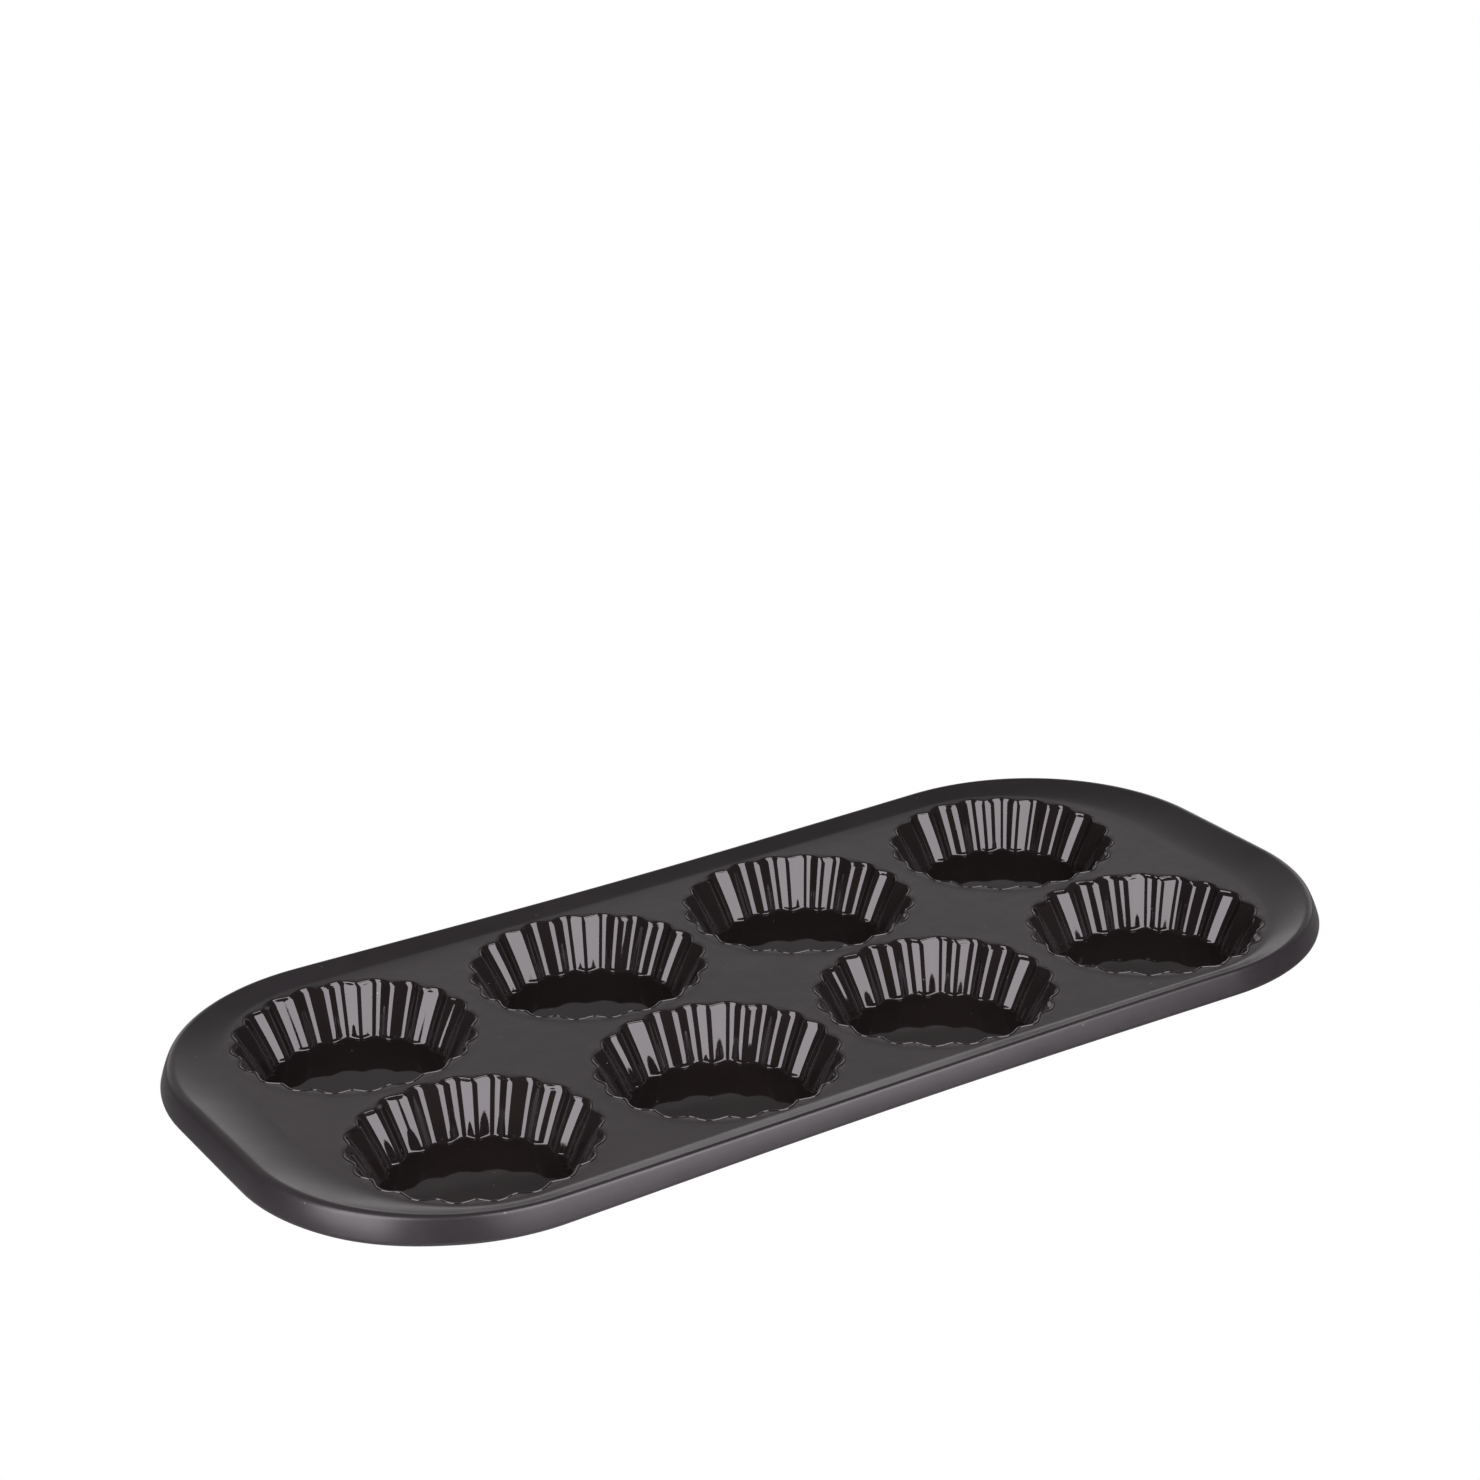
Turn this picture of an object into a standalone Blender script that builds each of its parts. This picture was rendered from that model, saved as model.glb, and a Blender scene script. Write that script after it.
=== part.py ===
"""Silicone muffin pan: a flat web with eight fluted cups in two rows of four,
framed by a raised, rounded rim that turns down into a short skirt.

Metres, +Z up, long axis along X.  The origin is on the table, under the
middle of the pan; the pan rests on the flat bottoms of its cups.
"""
import bpy
import bmesh
import math
from mathutils import Vector

MM = 0.001

# ---------------------------------------------------------------- dimensions
DECK_TOP = 16.2          # height of the web's upper face above the table
DECK_THICK = 2.0
GAP = 0.3                # clearance between neighbouring pieces

# cups
COLUMN_X = (-113.3, -36.9, 36.9, 113.3)
ROW_Y = 36.4
FLUTES = 20
STEPS_PER_FLUTE = 4
LIP_R = 35.0             # centre line of the raised lip, at the lobes
LIP_DEPTH = 1.8          # lobe to cusp, at the lip
FOOT_DEPTH = 1.5         # lobe to cusp, at the foot of the wall
CUSP_SOFTNESS = 0.40     # 0 would give razor-sharp cusps
LIP_HALF_WIDTH = 0.7
LIP_HEIGHT = 0.6
CUP_DEPTH = 14.8         # web face down to the cup's floor

# rim outline: rounded rectangle whose long sides are drawn in at the waist
HALF_LENGTH = 175.6
HALF_WIDTH = 84.0
CORNER_R = 64.8
WAIST = 0.022

# rim section
CREST_END = 2.6          # crest above the web, at the two ends
CREST_CORNER = 2.3       # where the corners run into the long sides
CREST_WAIST = 1.75       # in the middle of the long sides
CREST_R_SIDE = 1.35      # roundness of the crest
CREST_R_END = 2.6
SKIRT_LEAN = 66.0        # the skirt's slope, in degrees from level
SKIRT_DROP = 4.1         # skirt's lower edge below the web's upper face
SKIRT_THICK = 1.7
SLOPE_SIDE = 8.7         # outer edge to the foot of the inner slope, long sides
SLOPE_END = 20.0         # the same at the two ends


# ---------------------------------------------------------------- materials
def material(name, colour, roughness):
    mat = bpy.data.materials.new(name)
    mat.use_nodes = True
    bsdf = mat.node_tree.nodes["Principled BSDF"]
    bsdf.inputs["Base Color"].default_value = (*colour, 1.0)
    bsdf.inputs["Roughness"].default_value = roughness
    bsdf.inputs["Metallic"].default_value = 0.0
    mat.diffuse_color = (*colour, 1.0)
    return mat


# ---------------------------------------------------------------- curves
def lobe(theta):
    """1 on the middle of a flute, 0 on the cusp between two flutes."""
    c = math.cos(FLUTES / 2 * theta)
    s = CUSP_SOFTNESS
    return (math.sqrt(c * c + s * s) - s) / (math.sqrt(1 + s * s) - s)


def fluted_ring(radius, depth):
    n = FLUTES * STEPS_PER_FLUTE
    ring = []
    for i in range(n):
        t = 2 * math.pi * i / n
        r = radius - depth * (1 - lobe(t))
        ring.append((r * math.cos(t), r * math.sin(t)))
    return ring


def outline():
    """Outer edge of the rim, counter-clockwise, as (x, y) with its outward
    normal; evenly stepped along the straight runs and round each corner."""
    run_x = HALF_LENGTH - CORNER_R
    run_y = HALF_WIDTH - CORNER_R
    side_steps, corner_steps, end_steps = 6, 9, 2
    quarter = []
    for i in range(end_steps):
        quarter.append((HALF_LENGTH, run_y * i / end_steps))
    for i in range(corner_steps):
        a = math.pi / 2 * i / corner_steps
        quarter.append((run_x + CORNER_R * math.cos(a), run_y + CORNER_R * math.sin(a)))
    for i in range(side_steps + 1):
        quarter.append((run_x * (1 - i / side_steps), HALF_WIDTH))
    half = quarter + [(-x, y) for x, y in reversed(quarter[:-1])]
    loop = half + [(x, -y) for x, y in reversed(half[1:-1])]

    shaped = []
    for x, y in loop:
        u = max(-1.0, min(1.0, x / (0.98 * HALF_LENGTH)))
        shaped.append((x, y * (1 - WAIST * math.cos(math.pi * u / 2) ** 2)))

    out = []
    n = len(shaped)
    for i, (x, y) in enumerate(shaped):
        ax, ay = shaped[i - 1]
        bx, by = shaped[(i + 1) % n]
        t = Vector((bx - ax, by - ay)).normalized()
        out.append((x, y, t.y, -t.x))
    return out


def slope_foot(nx):
    """Inset of the inner slope's foot: narrow beside the cups on the long
    sides, wide and soft round the ends."""
    return SLOPE_SIDE + (SLOPE_END - SLOPE_SIDE) * nx * nx


def waisted(x):
    """0 round the corners and ends, 1 in the middle of the long sides."""
    u = max(-1.0, min(1.0, x / (0.98 * HALF_LENGTH)))
    return max(0.0, (math.cos(math.pi * u / 2) ** 2 - 0.28) / 0.72)


def rim_section(x, nx):
    """The rim's closed section as (inset from the outer edge, height above the
    web face): the skirt from its lower edge up, the rounded crest, the inner
    slope down to the web, and back along the hollow underside."""
    end = nx * nx
    side = waisted(x) * (1 - end)
    crest = CREST_END * end + CREST_CORNER * (1 - end) - (CREST_CORNER - CREST_WAIST) * side
    drop = SKIRT_DROP
    r = CREST_R_SIDE + (CREST_R_END - CREST_R_SIDE) * end
    lean = math.radians(SKIRT_LEAN)
    foot = slope_foot(nx)

    top_z = crest - r + r * math.cos(lean)          # where the skirt meets the crest
    top_d = (top_z + drop - 0.35) / math.tan(lean)
    centre = top_d + r * math.sin(lean)
    tilt = math.atan((1.1 + 0.9 * end) * crest / (foot - centre))
    section = [(0.35, -drop), (0.0, -drop + 0.35), (top_d, top_z)]
    for part in (0.62, 0.30, 0.0):
        a = lean * part
        section.append((centre - r * math.sin(a), crest - r + r * math.cos(a)))
    start_d = centre + r * math.sin(tilt)
    start_z = crest - r + r * math.cos(tilt)
    section.append((start_d, start_z))
    for t in (0.75, 0.5, 0.25):
        height = (1 - end) * t + end * t * t
        section.append((start_d + (foot - start_d) * (1 - t), start_z * height))
    section += [
        (foot, 0.0),
        (foot, -DECK_THICK),
        (centre + 0.45 * (foot - centre), -1.7),
        (centre + 1.4, crest - 2.35),
        (centre + 0.65, crest - 1.85),
        (top_d + SKIRT_THICK - 0.15, top_z - 1.35),
        (SKIRT_THICK + 0.15, -drop + 0.35),
        (SKIRT_THICK - 0.2, -drop),
    ]
    return section


# ---------------------------------------------------------------- mesh help
def finish_object(name, bm, mat, smooth_angle):
    bmesh.ops.recalc_face_normals(bm, faces=bm.faces[:])
    mesh = bpy.data.meshes.new(name)
    bm.to_mesh(mesh)
    bm.free()
    mesh.materials.append(mat)
    obj = bpy.data.objects.new(name, mesh)
    bpy.context.scene.collection.objects.link(obj)
    for p in mesh.polygons:
        p.use_smooth = True
    mesh.set_sharp_from_angle(angle=math.radians(smooth_angle))
    return obj


def bridge(bm, a, b):
    n = len(a)
    for i in range(n):
        j = (i + 1) % n
        bm.faces.new((a[i], a[j], b[j], b[i]))


# ---------------------------------------------------------------- pieces
def make_cup(name, x, y, mat):
    """One cup as a closed shell: floor, fluted wall, raised lip, and the
    outside following the flutes down to a flat bottom."""
    section = (
        # radius at the lobes, lobe-to-cusp depth, height above the web face
        (24.8, 0.6, -CUP_DEPTH),
        (26.1, 1.2, -14.5),
        (26.9, FOOT_DEPTH, -13.6),
        (LIP_R - LIP_HALF_WIDTH, LIP_DEPTH, -0.2),
        (LIP_R, LIP_DEPTH, LIP_HEIGHT),
        (LIP_R + LIP_HALF_WIDTH, LIP_DEPTH, 0.0),
        (LIP_R + LIP_HALF_WIDTH, LIP_DEPTH, -DECK_THICK),
        (28.5, FOOT_DEPTH, -13.9),
        (27.7, 1.3, -15.5),
        (26.5, 1.1, -DECK_TOP),
    )
    bm = bmesh.new()
    rings = []
    for radius, depth, z in section:
        rings.append([bm.verts.new((px * MM, py * MM, (z + DECK_TOP) * MM))
                      for px, py in fluted_ring(radius, depth)])
    for a, b in zip(rings[:-1], rings[1:]):
        bridge(bm, a, b)
    bm.faces.new(rings[0])
    bm.faces.new(rings[-1])
    obj = finish_object(name, bm, mat, 40)
    obj.location = (x * MM, y * MM, 0.0)
    return obj


def make_deck(mat):
    """The web: a flat plate inside the rim with a fluted hole round each cup."""
    bm = bmesh.new()
    loops = [[(x - nx * (slope_foot(nx) + GAP), y - ny * (slope_foot(nx) + GAP))
              for x, y, nx, ny in outline()]]
    hole = fluted_ring(LIP_R + LIP_HALF_WIDTH + GAP, LIP_DEPTH)
    for sy in (-1, 1):
        for cx in COLUMN_X:
            loops.append([(cx + px, sy * ROW_Y + py) for px, py in hole])
    edges = []
    for pts in loops:
        vs = [bm.verts.new((px * MM, py * MM, DECK_TOP * MM)) for px, py in pts]
        for i in range(len(vs)):
            edges.append(bm.edges.new((vs[i], vs[(i + 1) % len(vs)])))
    bmesh.ops.triangle_fill(bm, use_beauty=True, use_dissolve=False, edges=edges)
    made = bmesh.ops.extrude_face_region(bm, geom=bm.faces[:])
    down = [e for e in made["geom"] if isinstance(e, bmesh.types.BMVert)]
    bmesh.ops.translate(bm, verts=down, vec=(0, 0, -DECK_THICK * MM))
    return finish_object("deck", bm, mat, 40)


def make_rim(mat):
    """Raised rim: skirt, rounded crest and an inner slope that eases down to
    the web, hollow underneath like the rest of the moulding."""
    bm = bmesh.new()
    columns = []
    for x, y, nx, ny in outline():
        section = rim_section(x, nx)
        columns.append([bm.verts.new(((x - nx * d) * MM, (y - ny * d) * MM,
                                      (z + DECK_TOP) * MM)) for d, z in section])
    n = len(columns)
    for i in range(n):
        bridge(bm, columns[i], columns[(i + 1) % n])
    return finish_object("rim", bm, mat, 40)


# ---------------------------------------------------------------- build
def main():
    for obj in list(bpy.data.objects):
        bpy.data.objects.remove(obj, do_unlink=True)

    satin = (0.060, 0.058, 0.060)
    gloss = (0.012, 0.010, 0.010)
    make_deck(material("deck_silicone", satin, 0.42))
    make_rim(material("rim_silicone", satin, 0.40))
    number = 0
    for sy in (-1, 1):
        for cx in COLUMN_X:
            number += 1
            name = "cup_%d" % number
            make_cup(name, cx, sy * ROW_Y, material(name + "_silicone", gloss, 0.14))


main()
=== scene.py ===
"""Silicone muffin pan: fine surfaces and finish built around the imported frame.

Lengths in the tables are millimetres; heights in the sections are measured
from the web's upper face, as in the construction."""
import math

import bpy
import numpy as np
from mathutils import Matrix, Quaternion, Vector
from mathutils.geometry import delaunay_2d_cdt


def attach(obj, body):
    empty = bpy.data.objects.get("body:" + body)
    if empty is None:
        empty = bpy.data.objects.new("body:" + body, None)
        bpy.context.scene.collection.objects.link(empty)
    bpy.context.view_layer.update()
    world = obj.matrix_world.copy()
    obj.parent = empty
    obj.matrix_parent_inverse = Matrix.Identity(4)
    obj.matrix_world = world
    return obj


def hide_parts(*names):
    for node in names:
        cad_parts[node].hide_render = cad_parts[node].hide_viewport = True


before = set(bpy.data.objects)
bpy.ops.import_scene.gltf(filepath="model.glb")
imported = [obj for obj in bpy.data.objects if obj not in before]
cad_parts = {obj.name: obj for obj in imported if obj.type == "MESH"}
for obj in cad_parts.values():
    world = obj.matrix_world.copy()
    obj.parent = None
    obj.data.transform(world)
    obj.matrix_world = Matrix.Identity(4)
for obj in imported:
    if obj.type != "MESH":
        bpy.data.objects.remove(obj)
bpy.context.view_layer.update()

MM = 0.001

# ---------------------------------------------------------------- dimensions
DECK_TOP = 16.2
DECK_THICK = 2.0
COLUMN_X = (-113.3, -36.9, 36.9, 113.3)
ROW_Y = 36.4
FLUTES = 20
STEPS = 22                 # mesh steps to a flute
LIP_R = 35.0
LIP_DEPTH = 1.8
FOOT_DEPTH = 1.46
CUSP_SOFTNESS = 0.40
WALL_SOFTNESS = 4.0        # below the lip the flutes are nearly sinusoidal
# and sit a little round from it, cup by cup, in degrees
WALL_TURN = (-1.2, -0.5, -1.4, -2.3, -1.1, -0.4, -0.7, -0.3)
CUP_DEPTH = 14.8
CROWN = 0.50               # the floor of a cup rises a little to its middle
HALF_LENGTH = 175.1
SHIFT_X = 0.45              # the rim sits this far along X from the cups' middle
HALF_WIDTH = 83.95
CORNER_R = 64.8
CORNER_LEFT = 63.2          # the two corners at the left end are a little squarer
WAIST = 0.022
SKIRT_DROP = 3.95
SLOPE_SIDE = 10.0
SLOPE_END = 20.0
LIP_EDGE = 0.49             # lip's outer face, from its centre line
HOLE_R = LIP_R + LIP_EDGE + 0.04
WEB_LIFT = 0.08             # the web's rise towards the lips


# ---------------------------------------------------------------- mesh help
def mesh_object(name, verts, faces, mat, sharp=50):
    mesh = bpy.data.meshes.new(name)
    mesh.from_pydata([tuple(v) for v in np.asarray(verts) * MM], [], faces)
    mesh.update()
    for p in mesh.polygons:
        p.use_smooth = True
    mesh.set_sharp_from_angle(angle=math.radians(sharp))
    mesh.materials.append(mat)
    obj = bpy.data.objects.new(name, mesh)
    bpy.context.scene.collection.objects.link(obj)
    return obj


def ring_faces(a, b, n):
    """Quads between two rings of n vertices that start at a and b; b is the
    outer or the lower of the two."""
    return [(a + i, b + i, b + (i + 1) % n, a + (i + 1) % n) for i in range(n)]


def arc(cx, cz, r, start, end, steps):
    return [(cx + r * math.cos(math.radians(start + (end - start) * i / steps)),
             cz + r * math.sin(math.radians(start + (end - start) * i / steps)))
            for i in range(steps + 1)]


def smooth_line(points, steps):
    """Centripetal curve through the points, steps to each span."""
    p = [np.array(q, float) for q in points]
    p = [2 * p[0] - p[1]] + p + [2 * p[-1] - p[-2]]
    out = []
    for i in range(1, len(p) - 2):
        t = [0.0]
        for k in range(3):
            t.append(t[-1] + max(1e-6, np.linalg.norm(p[i + k] - p[i + k - 1])) ** 0.5)
        for s in range(steps):
            u = t[1] + (t[2] - t[1]) * s / steps
            a1 = (t[1] - u) / (t[1] - t[0]) * p[i - 1] + (u - t[0]) / (t[1] - t[0]) * p[i]
            a2 = (t[2] - u) / (t[2] - t[1]) * p[i] + (u - t[1]) / (t[2] - t[1]) * p[i + 1]
            a3 = (t[3] - u) / (t[3] - t[2]) * p[i + 1] + (u - t[2]) / (t[3] - t[2]) * p[i + 2]
            b1 = (t[2] - u) / (t[2] - t[0]) * a1 + (u - t[0]) / (t[2] - t[0]) * a2
            b2 = (t[3] - u) / (t[3] - t[1]) * a2 + (u - t[1]) / (t[3] - t[1]) * a3
            out.append((t[2] - u) / (t[2] - t[1]) * b1 + (u - t[1]) / (t[2] - t[1]) * b2)
    out.append(p[-2])
    return [tuple(q) for q in out]


# ---------------------------------------------------------------- curves
THETA = np.linspace(0, 2 * math.pi, FLUTES * STEPS, endpoint=False)


def lobe(theta, s):
    """1 on the middle of a flute, 0 on a cusp; s softens the cusp."""
    c = np.cos(FLUTES / 2 * theta)
    return (np.sqrt(c * c + s * s) - s) / (math.sqrt(1 + s * s) - s)


def cup_lobes(number):
    """The cup's own flutes: each a little deeper or shallower, wider or
    narrower than its neighbours, as moulded silicone is.  Gives the dip at
    the lip and the dip down the wall."""
    rng = np.random.RandomState(100 + number)
    depth = rng.uniform(0.93, 1.07, FLUTES)
    shift = np.radians(rng.uniform(-0.35, 0.35, FLUTES))
    where = THETA * FLUTES / (2 * math.pi)
    i = np.floor(where).astype(int)
    f = where - i
    f = f * f * (3 - 2 * f)
    turn = shift[i % FLUTES] * (1 - f) + shift[(i + 1) % FLUTES] * f
    deep = depth[i % FLUTES] * (1 - f) + depth[(i + 1) % FLUTES] * f
    wall = THETA + turn - math.radians(WALL_TURN[number - 1])
    return deep * (1 - lobe(THETA + turn, CUSP_SOFTNESS)), deep * (1 - lobe(wall, WALL_SOFTNESS))


def ring(dips, radius, depth, z, wall=0.0):
    dip = dips[0] * (1 - wall) + dips[1] * wall
    r = radius - depth * dip
    return np.stack([r * np.cos(THETA), r * np.sin(THETA), np.full_like(r, z)], 1)


def outline(side_steps=90, corner_steps=60, end_steps=14):
    """Outer edge of the rim with its outward normals, counter-clockwise."""
    def quarter(corner):
        run_x = HALF_LENGTH - corner
        run_y = HALF_WIDTH - corner
        q = [(HALF_LENGTH, run_y * i / end_steps) for i in range(end_steps)]
        for i in range(corner_steps):
            a = math.pi / 2 * i / corner_steps
            q.append((run_x + corner * math.cos(a), run_y + corner * math.sin(a)))
        return q + [(run_x * (1 - i / side_steps), HALF_WIDTH) for i in range(side_steps + 1)]

    half = quarter(CORNER_R) + [(-x, y) for x, y in reversed(quarter(CORNER_LEFT)[:-1])]
    loop = half + [(x, -y) for x, y in reversed(half[1:-1])]
    p = np.array(loop)
    u = np.clip(p[:, 0] / (0.98 * HALF_LENGTH), -1, 1)
    p[:, 1] *= 1 - WAIST * np.cos(math.pi * u / 2) ** 2
    t = np.roll(p, -1, 0) - np.roll(p, 1, 0)
    p[:, 0] += np.where(p[:, 0] < 0, 0.0022 * -p[:, 0], 0.0) + SHIFT_X
    for _ in range(12):      # the outline's bends ease in and out
        t = (np.roll(t, 1, 0) + 2 * t + np.roll(t, -1, 0)) / 4
    t /= np.linalg.norm(t, axis=1)[:, None]
    return p, np.stack([t[:, 1], -t[:, 0]], 1)


EDGE, NORMAL = outline()
ENDS = NORMAL[:, 0] ** 2
FOOT = SLOPE_SIDE + (SLOPE_END - SLOPE_SIDE) * ENDS
# the rim stands lower along its long sides, where the soft web lets it sag,
# and a little lower still on the near side
ALONG = np.cos(math.pi / 2 * np.clip(EDGE[:, 0] / (0.98 * HALF_LENGTH), -1, 1)) ** 2
WAISTED = np.clip((ALONG - 0.28) / 0.72, 0, 1)


def along(heights, side=-1):
    """A smooth curve over X through heights given at these places, for the
    near long side (or the far one, 1) and faded out towards the ends."""
    places = (-160, -135, -109, -49, 0, 40, 70, 100, 130, 160)
    h = np.interp(EDGE[:, 0], places, heights)
    kernel = np.exp(-(np.arange(-24, 25) / 11.0) ** 2)
    h = np.convolve(np.concatenate([h[-24:], h, h[:24]]), kernel / kernel.sum(), "valid")
    return h * np.clip(side * EDGE[:, 1] / 55, 0, 1) * (1 - ENDS)


SAG = along((0.40, -0.05, -0.42, -0.15, 0.10, 0.38, 0.48, 0.38, 0.0, 0.0))
SAG += along((0.20, 0.22, 0.20, 0.0, -0.10, -0.12, -0.14, -0.16, -0.10, 0.05), 1)
HANG = along((0.65, 0.95, 0.80, 0.30, 0.08, -0.03, -0.05, 0.05, 0.0, 0.0))
FAR = np.clip(EDGE[:, 1] / 50, 0, 1)
RISE = np.minimum(2.56, 2.56 * ENDS + (2.25 - 0.55 * WAISTED + 0.15 * FAR) * (1 - ENDS) + SAG)
# the left end hangs a little too, most at the near corner
LEFT = np.clip((-EDGE[:, 0] - 140) / 25, 0, 1)
HANG += 0.65 * LEFT * LEFT * (3 - 2 * LEFT) * np.clip(0.8 - EDGE[:, 1] / 60, 0, 1)
DROP = SKIRT_DROP + HANG
# round the right end and the far left corner the skirt stands a few degrees steeper
STEEP = 7.0 * np.clip(NORMAL[:, 0], 0, 1) ** 2 * np.clip(1 + NORMAL[:, 1], 0, 1)
STEEP += 8.0 * np.clip(-NORMAL[:, 0], 0, 1) * np.clip(NORMAL[:, 1], 0, 1)


# ---------------------------------------------------------------- materials
def shader_tree(name):
    mat = bpy.data.materials.new(name)
    mat.use_nodes = True
    return mat, mat.node_tree.nodes, mat.node_tree.links


def silicone(name, tones, roughness, grain, peel, seed, specks=0.5, lip=False):
    """Moulded silicone.  tones: darkest and lightest colour of the mottling;
    roughness: its low and high; grain: depth of the fine tooth in metres;
    peel: depth of the long shallow waves."""
    mat, nodes, links = shader_tree(name)
    bsdf = nodes["Principled BSDF"]
    bsdf.inputs["IOR"].default_value = 1.45
    bsdf.inputs["Metallic"].default_value = 0.0
    coord = nodes.new("ShaderNodeTexCoord")
    shift = nodes.new("ShaderNodeMapping")
    shift.inputs["Location"].default_value = (0.37 * seed, 0.21 * seed, 0.11 * seed)
    links.new(coord.outputs["Object"], shift.inputs["Vector"])

    def noise(scale, detail, rough=0.5):
        n = nodes.new("ShaderNodeTexNoise")
        n.inputs["Scale"].default_value = scale
        n.inputs["Detail"].default_value = detail
        n.inputs["Roughness"].default_value = rough
        links.new(shift.outputs["Vector"], n.inputs["Vector"])
        return n.outputs["Fac"]

    def ramp(fac, stops):
        r = nodes.new("ShaderNodeValToRGB")
        r.color_ramp.elements[0].position = stops[0][0]
        r.color_ramp.elements[0].color = (*stops[0][1], 1)
        r.color_ramp.elements[1].position = stops[-1][0]
        r.color_ramp.elements[1].color = (*stops[-1][1], 1)
        for pos, col in stops[1:-1]:
            e = r.color_ramp.elements.new(pos)
            e.color = (*col, 1)
        links.new(fac, r.inputs["Fac"])
        return r.outputs["Color"]

    def spread(fac, lo, hi, low=0.3, high=0.7):
        m = nodes.new("ShaderNodeMapRange")
        m.inputs["From Min"].default_value = low
        m.inputs["From Max"].default_value = high
        m.inputs["To Min"].default_value = lo
        m.inputs["To Max"].default_value = hi
        links.new(fac, m.inputs["Value"])
        return m.outputs["Result"]

    def mix(fac, a, b):
        m = nodes.new("ShaderNodeMix")
        m.data_type = "RGBA"
        links.new(fac, m.inputs["Factor"])
        for socket, value in ((m.inputs[6], a), (m.inputs[7], b)):
            if isinstance(value, tuple):
                socket.default_value = (*value, 1)
            else:
                links.new(value, socket)
        return m.outputs[2]

    cloud = noise(28, 4, 0.55)
    fine = noise(900, 3, 0.6)
    colour = ramp(cloud, [(0.3, tones[0]), (0.7, tones[1])])

    # settled dust: sparse pale specks a fraction of a millimetre across
    cells = nodes.new("ShaderNodeTexVoronoi")
    cells.inputs["Scale"].default_value = 300
    links.new(shift.outputs["Vector"], cells.inputs["Vector"])
    near = nodes.new("ShaderNodeMath")
    near.operation = "LESS_THAN"
    near.inputs[1].default_value = 0.06
    links.new(cells.outputs["Distance"], near.inputs[0])
    pick = nodes.new("ShaderNodeSeparateColor")
    links.new(cells.outputs["Color"], pick.inputs["Color"])
    few = nodes.new("ShaderNodeMath")
    few.operation = "GREATER_THAN"
    few.inputs[1].default_value = 0.88
    links.new(pick.outputs["Red"], few.inputs[0])
    dust = nodes.new("ShaderNodeMath")
    dust.operation = "MULTIPLY"
    links.new(near.outputs[0], dust.inputs[0])
    links.new(few.outputs[0], dust.inputs[1])
    weak = nodes.new("ShaderNodeMath")
    weak.operation = "MULTIPLY"
    weak.inputs[1].default_value = specks
    links.new(dust.outputs[0], weak.inputs[0])
    links.new(mix(weak.outputs[0], colour, (0.28, 0.27, 0.26)), bsdf.inputs["Base Color"])

    rough = nodes.new("ShaderNodeMath")
    rough.operation = "ADD"
    links.new(spread(noise(60, 5, 0.6), roughness[0], roughness[1]), rough.inputs[0])
    links.new(spread(fine, -0.02, 0.02), rough.inputs[1])
    if lip:      # the lip is left satin like the web; the gloss begins below it
        part = nodes.new("ShaderNodeSeparateXYZ")
        links.new(coord.outputs["Object"], part.inputs[0])
        band = nodes.new("ShaderNodeMapRange")
        band.inputs["From Min"].default_value = (DECK_TOP - 0.05) * MM
        band.inputs["From Max"].default_value = (DECK_TOP + 0.12) * MM
        band.inputs["To Min"].default_value = 0.0
        band.inputs["To Max"].default_value = 0.14
        links.new(part.outputs["Z"], band.inputs["Value"])
        more = nodes.new("ShaderNodeMath")
        more.operation = "ADD"
        links.new(rough.outputs[0], more.inputs[0])
        links.new(band.outputs["Result"], more.inputs[1])
        rough = more
    links.new(rough.outputs[0], bsdf.inputs["Roughness"])

    tooth = nodes.new("ShaderNodeBump")
    tooth.inputs["Strength"].default_value = 1.0
    tooth.inputs["Distance"].default_value = grain
    links.new(noise(2600, 2, 0.5), tooth.inputs["Height"])
    wave = nodes.new("ShaderNodeBump")
    wave.inputs["Strength"].default_value = 1.0
    wave.inputs["Distance"].default_value = peel
    links.new(noise(150, 2, 0.4), wave.inputs["Height"])
    links.new(tooth.outputs["Normal"], wave.inputs["Normal"])
    links.new(wave.outputs["Normal"], bsdf.inputs["Normal"])
    return mat


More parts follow.
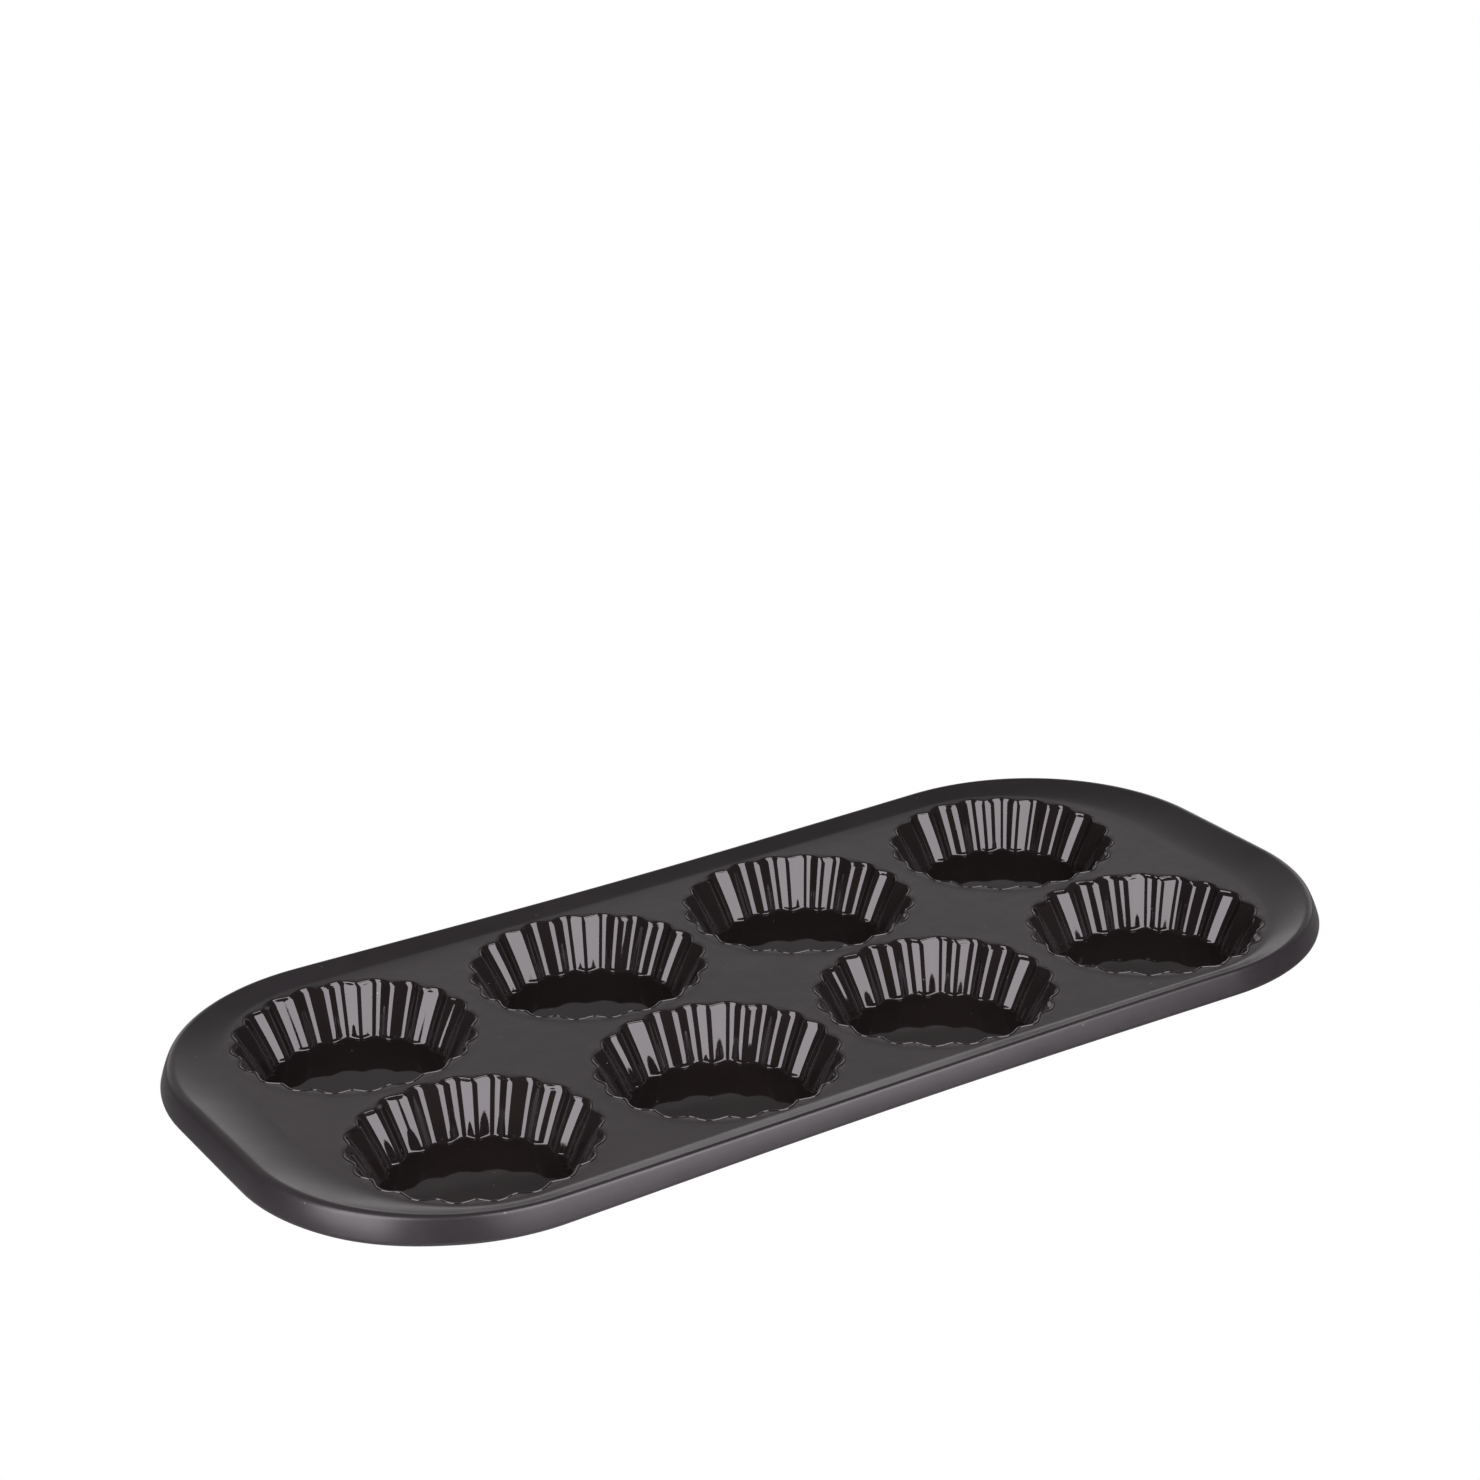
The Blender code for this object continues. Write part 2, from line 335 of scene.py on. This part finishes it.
# ---------------------------------------------------------------- cups
def cup_section():
    """(radius at the lobes, lobe-to-cusp depth, height, share of the wall's
    softer flute) from the middle of the floor, up the wall, over the lip and
    down the outside."""
    s = []
    for r in (3, 7, 11, 15, 18, 20.5, 22.5, 24.0):
        s.append((r, 0.0 if r < 18 else 0.5 * (r - 18) / 6,
                  -CUP_DEPTH + CROWN * (1 - (r / 24.6) ** 2), 1.0))
    top_r, foot_r = 34.66, 27.50            # wall radius 0.3 and 13.8 below the web
    lean = math.atan2(top_r - foot_r, 13.5)
    turn = math.pi / 2 - lean
    rho = 1.25
    corner = foot_r - math.tan(lean) * (CUP_DEPTH - 13.8)
    cx = corner - rho * math.tan(turn / 2)
    for i in range(11):
        a = -math.pi / 2 + turn * i / 10
        s.append((cx + rho * math.cos(a), 0.55 + (FOOT_DEPTH - 0.55) * (i / 10) ** 0.7,
                  -CUP_DEPTH + rho + rho * math.sin(a), 1.0))
    r0, _, z0, _ = s[-1]
    n = 30
    for i in range(1, n + 1):
        t = i / n
        z = z0 + (-0.32 - z0) * t
        near = max(0.0, 1 + (z + 0.32) / 0.4)            # 1 at the lip, 0 below it
        share = 1 - near * near * (3 - 2 * near)
        s.append((r0 + (top_r - r0) * t - 0.2 * math.sin(math.pi * t),
                  FOOT_DEPTH + (1.82 - FOOT_DEPTH) * t + (LIP_DEPTH - 1.82) * (1 - share), z, share))
    # the wall turns in a small round onto the lip, whose top still climbs
    # outwards and ends in a crisp outer edge
    lip = [(-0.29, -0.20), (-0.25, -0.10), (-0.21, -0.01), (-0.16, 0.065), (-0.10, 0.115),
           (-0.02, 0.145), (0.08, 0.172), (0.17, 0.200), (0.25, 0.228), (0.295, 0.232),
           (0.335, 0.205), (0.40, 0.11), (0.455, 0.02), (LIP_EDGE, -0.03)]
    s += [(LIP_R + x, LIP_DEPTH, z, 0.0) for x, z in lip]
    s.append((LIP_R + LIP_EDGE, LIP_DEPTH, -DECK_THICK + 0.3, 0.0))
    s += [(35.3, LIP_DEPTH, -2.9, 0.3), (34.6, 1.78, -4.1, 0.8)]
    for i in range(1, 9):
        t = i / 8
        s.append((34.6 + (28.5 - 34.6) * t, 1.78 + (FOOT_DEPTH - 1.78) * t, -4.1 + (-13.9 + 4.1) * t, 1.0))
    s += [(28.15, 1.45, -14.6, 1.0), (27.8, 1.35, -15.3, 1.0), (27.35, 1.25, -15.8, 1.0),
          (26.9, 1.15, -16.08, 1.0), (26.4, 1.1, -DECK_TOP, 1.0), (20.0, 0.4, -DECK_TOP, 1.0),
          (10.0, 0.0, -DECK_TOP, 1.0)]
    return s


def make_cup(number, x, y, mat):
    dips = cup_lobes(number)
    section = cup_section()
    rings = [ring(dips, r, d, z, w) for r, d, z, w in section]
    verts = np.concatenate(rings + [np.array([[0, 0, -CUP_DEPTH + CROWN], [0, 0, -DECK_TOP]])])
    verts += np.array([x, y, DECK_TOP])
    n = len(THETA)
    faces = []
    for k in range(len(rings) - 1):
        faces += ring_faces(k * n, (k + 1) * n, n)
    top, last = len(rings) * n, (len(rings) - 1) * n
    faces += [(top, i, (i + 1) % n) for i in range(n)]
    faces += [(top + 1, last + (i + 1) % n, last + i) for i in range(n)]
    return mesh_object("cup_%d_fine" % number, verts, faces, mat, 75)


# ---------------------------------------------------------------- web
def make_deck(mat):
    centres = [(cx, sy * ROW_Y) for sy in (-1, 1) for cx in COLUMN_X]
    dips = [cup_lobes(k + 1) for k in range(8)]
    inner = EDGE - NORMAL * FOOT[:, None]
    top_r = HOLE_R + 0.07
    loops = [inner] + [ring(d, top_r, LIP_DEPTH, 0)[:, :2] + c for d, c in zip(dips, centres)]
    flat = np.concatenate(loops)
    edges, start = [], 0
    for lp in loops:
        n = len(lp)
        edges += [(start + i, start + (i + 1) % n) for i in range(n)]
        start += n
    # points between, about two millimetres apart, clear of the loops
    step = 1.9
    gx, gy = np.meshgrid(np.arange(-170, 170, step), np.arange(-80, 80, step))
    gx = gx + (np.arange(gx.shape[0]) % 2 * step / 2)[:, None]
    g = np.stack([gx.ravel(), gy.ravel()], 1)
    keep = inside(g, inner)
    for c in centres:
        keep &= np.linalg.norm(g - np.array(c), axis=1) > 38.5
    g = g[keep]
    g = g[clearance(g, inner) > 1.2]
    # and rings of closer ones round each cup, where the web lifts to the lip
    for k, c in enumerate(centres):
        for r in (36.0, 36.5, 37.1, 37.8):
            a = np.linspace(0, 2 * math.pi, int(2 * math.pi * r / 0.75), endpoint=False) + r
            q = np.array(c) + r * np.stack([np.cos(a), np.sin(a)], 1)
            own = inside(q, inner)
            for j, other in enumerate(centres):
                if j != k:
                    own &= np.linalg.norm(q - np.array(other), axis=1) > r + 0.25
            q = q[own]
            g = np.concatenate([g, q[clearance(q, inner) > 0.35]])
    coords = np.concatenate([flat, g])
    vs, _, fs, vo, _, _ = delaunay_2d_cdt([Vector(c) for c in coords], edges, [], 0, 1e-6, True)
    vs = np.array([(v[0], v[1]) for v in vs])
    source = [o[0] if o else -1 for o in vo]
    tris = np.array([f for f in fs])
    mid = vs[tris].mean(1)
    good = inside(mid, inner)
    for lp in loops[1:]:
        good &= ~inside(mid, lp)
    tris = tris[good]
    a, b, c = vs[tris[:, 0]], vs[tris[:, 1]], vs[tris[:, 2]]
    area = (b[:, 0] - a[:, 0]) * (c[:, 1] - a[:, 1]) - (b[:, 1] - a[:, 1]) * (c[:, 0] - a[:, 0])
    tris[area < 0] = tris[area < 0][:, ::-1]
    index = {s: i for i, s in enumerate(source) if s >= 0}
    m = len(vs)
    z_top = web_lift(vs, centres, inner)
    verts = [np.column_stack([vs, z_top]), np.column_stack([vs, np.full(m, -DECK_THICK)])]
    faces = [tuple(t) for t in tris] + [(t[0] + m, t[2] + m, t[1] + m) for t in tris]
    extra = 2 * m
    # outer wall
    n = len(inner)
    ids = [index[i] for i in range(n)]
    faces += [(ids[(i + 1) % n], ids[i], ids[i] + m, ids[(i + 1) % n] + m) for i in range(n)]
    # the holes' rounded upper edge and wall
    start = n
    for k, (d, ctr) in enumerate(zip(dips, centres)):
        q = len(THETA)
        ids = [index[start + i] for i in range(q)]
        start += q
        rows = []
        for dr, z in ((0.03, -0.01), (0.01, -0.03), (0.0, -0.07), (0.0, -DECK_THICK + 0.2)):
            rg = ring(d, HOLE_R + dr, LIP_DEPTH, z)
            if z > -0.1:
                rg[:, 2] += z_top[ids]
            rg[:, :2] += ctr
            verts.append(rg)
            rows.append([extra + i for i in range(q)])
            extra += q
        rows = [ids] + rows + [[i + m for i in ids]]
        for a, b in zip(rows[:-1], rows[1:]):
            faces += [(a[i], a[(i + 1) % q], b[(i + 1) % q], b[i]) for i in range(q)]
    verts = np.concatenate(verts)
    verts[:, 2] += DECK_TOP
    return mesh_object("deck_fine", verts, faces, mat, 50)


def clearance(points, loop):
    """Distance from each point to the nearest of the loop's."""
    best = np.full(len(points), 1e9)
    for q in loop:
        best = np.minimum(best, np.linalg.norm(points - q, axis=1))
    return best


def web_lift(points, centres, inner):
    """The web's small rise towards the lips: it shows on the left and near
    side of every cup and dies away before the rim's slope."""
    lift = np.zeros(len(points))
    for c in centres:
        d = points - np.array(c)
        r = np.linalg.norm(d, axis=1)
        t = np.clip(1 - (r - 35.2) / 2.7, 0, 1)
        side = np.clip(0.55 - 0.45 * (0.62 * d[:, 0] + 0.78 * d[:, 1]) / r, 0, 1) ** 1.5
        lift = np.maximum(lift, WEB_LIFT * t * t * (3 - 2 * t) * side)
    t = np.clip(clearance(points, inner) / 1.4, 0, 1)
    return lift * t * t * (3 - 2 * t)


def inside(points, loop):
    """Which points lie inside a closed loop."""
    x, y = points[:, 0], points[:, 1]
    res = np.zeros(len(points), bool)
    n = len(loop)
    for i in range(n):
        x0, y0 = loop[i]
        x1, y1 = loop[(i + 1) % n]
        if y0 == y1:
            continue
        cross = ((y0 > y) != (y1 > y)) & (x < (x1 - x0) * (y - y0) / (y1 - y0) + x0)
        res ^= cross
    return res


# ---------------------------------------------------------------- rim
def rim_section(foot, end, crest, drop, upright):
    """Skirt leaning outward as it falls, a tight crest, and the inner slope
    down to the web: straight beside the cups, hollow and wide at the ends."""
    r, lean, bow = 1.30 + 1.4 * end, math.radians(66.2 + 1.3 * end + upright), 0.05 + 0.08 * end
    turn = lean - bow * math.pi * math.sin(lean) / (crest + drop - 1.0)
    skirt_z = crest - r + r * math.cos(turn)
    skirt_x = (skirt_z + drop - 0.35) / math.tan(lean) + 0.03
    centre = skirt_x + r * math.sin(turn)
    k = 0.20
    steep = (1 - end) / (math.sqrt(1 + k * k) - k) / math.sqrt(1 + k * k) + end * 2
    tilt = 0.3
    for _ in range(12):
        bi, zi = centre + r * math.sin(tilt), crest - r + r * math.cos(tilt)
        tilt = math.atan(steep * zi / (foot - bi))
    outer = [(0.42, -drop), (0.20, -drop + 0.03), (0.08, -drop + 0.13)]
    for i in range(9):
        t = i / 9
        puff = bow * math.sin(math.pi * t)
        outer.append((0.03 + (skirt_x - 0.03) * t - puff * math.sin(lean),
                      -drop + 0.35 + (skirt_z + drop - 0.35) * t + puff * math.cos(lean)))
    for i in range(13):
        a = turn + (-tilt - turn) * i / 12
        outer.append((centre - r * math.sin(a), crest - r + r * math.cos(a)))
    slope = []
    for i in range(1, 21):
        t = 1 - i / 20
        line = (math.sqrt(t * t + k * k) - k) / (math.sqrt(1 + k * k) - k)
        slope.append((bi + (foot - bi) * (1 - t), zi * ((1 - end) * line + end * t * t)))
    wall = 1.7
    under = [(foot, -DECK_THICK), (centre + 0.45 * (foot - centre), -1.7), (centre + wall * 0.9, crest - 2.6),
             (centre + 0.75, crest - 1.95), (centre + 0.40, crest - 1.90), (skirt_x + wall * 0.95, skirt_z - 1.35),
             (wall + 0.15, -drop + 0.35), (wall, -drop + 0.1), (wall - 0.3, -drop)]
    return outer + slope + under


def make_rim(mat):
    columns = []
    for (x, y), (nx, ny), *sizes in zip(EDGE, NORMAL, FOOT, ENDS, RISE, DROP, STEEP):
        s = np.array(rim_section(*sizes))
        columns.append(np.column_stack([x - nx * s[:, 0], y - ny * s[:, 0], s[:, 1] + DECK_TOP]))
    k, n = len(columns[0]), len(columns)
    verts = np.concatenate(columns)
    faces = []
    for i in range(n):
        a, b = i * k, (i + 1) % n * k
        faces += [(a + j, b + j, b + (j + 1) % k, a + (j + 1) % k) for j in range(k)]
    return mesh_object("rim_fine", verts, faces, mat, 50)


# ---------------------------------------------------------------- build
satin = silicone("silicone_satin_deck", ((0.0165, 0.0145, 0.0150), (0.0215, 0.0190, 0.0196)),
                 (0.32, 0.40), 0.000008, 0.00007, 1)
satin_rim = silicone("silicone_satin_rim", ((0.0135, 0.0120, 0.0128), (0.0195, 0.0175, 0.0185)),
                     (0.29, 0.35), 0.000004, 0.00003, 2)
pieces = []
deck = make_deck(satin)
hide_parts("deck")
rim = make_rim(satin_rim)
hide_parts("rim")
pieces += [deck, rim]
number = 0
for sy in (-1, 1):
    for cx in COLUMN_X:
        number += 1
        mat = silicone("silicone_gloss_%d" % number, ((0.0078, 0.0058, 0.0057), (0.0115, 0.0090, 0.0086)),
                       (0.025, 0.05), 0.0000012, 0.000018, 3 + number, 0.4, True)
        cup = make_cup(number, cx, sy * ROW_Y, mat)
        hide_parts("cup_%d" % number)
        pieces.append(cup)
for p in pieces:
    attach(p, "root")


# ---------------------------------------------------------------- studio
AZ, EL, ROLL = math.radians(-31.30), math.radians(22.34), math.radians(-1.93)
BACK = Vector((math.sin(AZ) * math.cos(EL), -math.cos(AZ) * math.cos(EL), math.sin(EL)))
TARGET = Vector((2.619, 4.502, 0.0)) * 0.035 + Vector((0, 0, DECK_TOP * MM))
DISTANCE = 33.142 * 0.035

right0 = Vector((math.cos(AZ), math.sin(AZ), 0))
up0 = BACK.cross(right0)
right = right0 * math.cos(ROLL) + up0 * math.sin(ROLL)
up = up0 * math.cos(ROLL) - right0 * math.sin(ROLL)
place = TARGET + BACK * DISTANCE
cam_data = bpy.data.cameras.new("camera")
cam_data.sensor_width = 36
cam_data.lens = 3401.0 / 1480 * 36
cam = bpy.data.objects.new("camera", cam_data)
bpy.context.scene.collection.objects.link(cam)
cam.matrix_world = Matrix(((right.x, up.x, BACK.x, place.x), (right.y, up.y, BACK.y, place.y),
                           (right.z, up.z, BACK.z, place.z), (0, 0, 0, 1)))
bpy.context.scene.camera = cam


def panel(name, azimuth, elevation, distance, width, height, radiance, colour=(1, 1, 1), roll=0):
    """A flat lamp that faces the pan; azimuth as the camera's, in degrees.
    A roll lowers the side of larger azimuth."""
    a, e = math.radians(azimuth), math.radians(elevation)
    d = Vector((math.sin(a) * math.cos(e), -math.cos(a) * math.cos(e), math.sin(e)))
    data = bpy.data.lights.new(name, "AREA")
    data.shape = "RECTANGLE"
    data.size = width
    data.size_y = height
    data.energy = radiance * math.pi * width * height
    data.color = colour
    o = bpy.data.objects.new(name, data)
    bpy.context.scene.collection.objects.link(o)
    o.location = d * distance + Vector((0, 0, 0.016))
    o.rotation_mode = "QUATERNION"
    o.rotation_quaternion = d.to_track_quat("Z", "Y") @ Quaternion((0, 0, 1), -math.radians(roll))
    o.visible_camera = False
    return o


panel("softbox_left", -78.0, 28.0, 0.72, 0.42, 0.48, 7.8, (1.015, 0.958, 1.015))
panel("softbox_right", 12.0, 36.0, 0.72, 0.65, 0.51, 7.5, (1.015, 0.958, 1.015), 8)

# surroundings: a pale sweep behind the pan, bright near the horizon and fading
# upwards, and a dim room elsewhere; plain white where the camera looks
world = bpy.data.worlds.new("studio")
bpy.context.scene.world = world
world.use_nodes = True
wn, wl = world.node_tree.nodes, world.node_tree.links
wn.clear()


def wmath(op, a, b=None):
    m = wn.new("ShaderNodeMath")
    m.operation = op
    for socket, v in ((m.inputs[0], a), (m.inputs[1], b)):
        if isinstance(v, (int, float)):
            socket.default_value = v
        elif v is not None:
            wl.new(v, socket)
    return m.outputs[0]


out = wn.new("ShaderNodeOutputWorld")
both = wn.new("ShaderNodeMixShader")
path = wn.new("ShaderNodeLightPath")
where = wn.new("ShaderNodeTexCoord")
axes = wn.new("ShaderNodeSeparateXYZ")
wl.new(where.outputs["Generated"], axes.inputs[0])
behind = (math.sin(math.radians(148.7)), -math.cos(math.radians(148.7)))
onward = wmath("ADD", wmath("MULTIPLY", axes.outputs[0], behind[0]), wmath("MULTIPLY", axes.outputs[1], behind[1]))
sideways = wmath("SUBTRACT", wmath("MULTIPLY", axes.outputs[0], behind[1]), wmath("MULTIPLY", axes.outputs[1], behind[0]))
flat = wmath("SQRT", wmath("ADD", wmath("MULTIPLY", axes.outputs[0], axes.outputs[0]),
                           wmath("ADD", wmath("MULTIPLY", axes.outputs[1], axes.outputs[1]), 0.0001)))
facing = wn.new("ShaderNodeMapRange")
facing.interpolation_type = "SMOOTHSTEP"
facing.inputs["From Min"].default_value = 0.62
facing.inputs["From Max"].default_value = 0.86
wl.new(wmath("DIVIDE", onward, flat), facing.inputs["Value"])
height = wn.new("ShaderNodeValToRGB")
bands = [(0.0, 1.21), (0.12, 1.25), (0.20, 1.125), (0.28, 0.817), (0.36, 0.417), (0.43, 0.24), (0.52, 0.27), (0.66, 0.15), (0.84, 0.06)]
height.color_ramp.elements[0].position = bands[0][0]
height.color_ramp.elements[0].color = (bands[0][1],) * 3 + (1,)
height.color_ramp.elements[1].position = bands[-1][0]
height.color_ramp.elements[1].color = (bands[-1][1],) * 3 + (1,)
for z, v in bands[1:-1]:
    e = height.color_ramp.elements.new(z)
    e.color = (v, v, v, 1)
wl.new(axes.outputs[2], height.inputs["Fac"])
# the sweep's upper edge, where it is lit less, runs slightly aslant
edge = wn.new("ShaderNodeMapRange")
edge.interpolation_type = "SMOOTHSTEP"
edge.inputs["From Min"].default_value = 0.456
edge.inputs["From Max"].default_value = 0.474
edge.inputs["To Min"].default_value = 1.2
edge.inputs["To Max"].default_value = 0.72
wl.new(wmath("ADD", axes.outputs[2], wmath("MULTIPLY", sideways, 0.32)), edge.inputs["Value"])
lit = wmath("MULTIPLY", height.outputs["Color"], edge.outputs["Result"])
sweep = wmath("ADD", wmath("MULTIPLY", facing.outputs["Result"], lit), 0.09)
dim = wn.new("ShaderNodeBackground")
dim.inputs["Color"].default_value = (0.82, 0.785, 0.805, 1)
wl.new(sweep, dim.inputs["Strength"])
pale = wn.new("ShaderNodeBackground")
pale.inputs["Color"].default_value = (1, 1, 1, 1)
pale.inputs["Strength"].default_value = 1.0
wl.new(path.outputs["Is Camera Ray"], both.inputs["Fac"])
wl.new(dim.outputs[0], both.inputs[1])
wl.new(pale.outputs[0], both.inputs[2])
wl.new(both.outputs[0], out.inputs["Surface"])

floor_mat, fn, fl = shader_tree("floor_pale")
shade = fn["Principled BSDF"]
shade.inputs["Base Color"].default_value = (0.86, 0.86, 0.86, 1)
shade.inputs["Roughness"].default_value = 0.9
shade.inputs["Specular IOR Level"].default_value = 0.0
# painted shade: the floor's base colour falls away to dark to the left and right of the pan
spot = fn.new("ShaderNodeTexCoord")
turned = fn.new("ShaderNodeVectorMath")
turned.operation = "DOT_PRODUCT"
turned.inputs[1].default_value = (math.cos(math.radians(-31.3)), math.sin(math.radians(-31.3)), 0)
fl.new(spot.outputs["Object"], turned.inputs[0])
aside = fn.new("ShaderNodeMath")
aside.operation = "ABSOLUTE"
fl.new(turned.outputs["Value"], aside.inputs[0])
# painted shade ramp: base colour 0.86 in line with the pan, 0.22 off to its sides
painted_floor_shade = fn.new("ShaderNodeMapRange")
painted_floor_shade.interpolation_type = "SMOOTHSTEP"
painted_floor_shade.inputs["From Min"].default_value = 0.12
painted_floor_shade.inputs["From Max"].default_value = 0.21
painted_floor_shade.inputs["To Min"].default_value = 0.86
painted_floor_shade.inputs["To Max"].default_value = 0.22
fl.new(aside.outputs[0], painted_floor_shade.inputs["Value"])
fl.new(painted_floor_shade.outputs["Result"], shade.inputs["Base Color"])
white = fn.new("ShaderNodeEmission")
white.inputs["Color"].default_value = (1, 1, 1, 1)
white.inputs["Strength"].default_value = 1.0
eye = fn.new("ShaderNodeLightPath")
pick = fn.new("ShaderNodeMixShader")
fl.new(eye.outputs["Is Camera Ray"], pick.inputs["Fac"])
fl.new(shade.outputs[0], pick.inputs[1])
fl.new(white.outputs[0], pick.inputs[2])
fl.new(pick.outputs[0], fn["Material Output"].inputs["Surface"])
floor_mesh = bpy.data.meshes.new("floor")
S = 12.0
floor_mesh.from_pydata([(-S, -S, -0.0002), (S, -S, -0.0002), (S, S, -0.0002), (-S, S, -0.0002)], [], [(0, 1, 2, 3)])
floor_mesh.materials.append(floor_mat)
floor = bpy.data.objects.new("floor", floor_mesh)
bpy.context.scene.collection.objects.link(floor)

bpy.context.scene.view_settings.view_transform = "Standard"
bpy.context.scene.view_settings.look = "None"

bpy.context.view_layer.update()
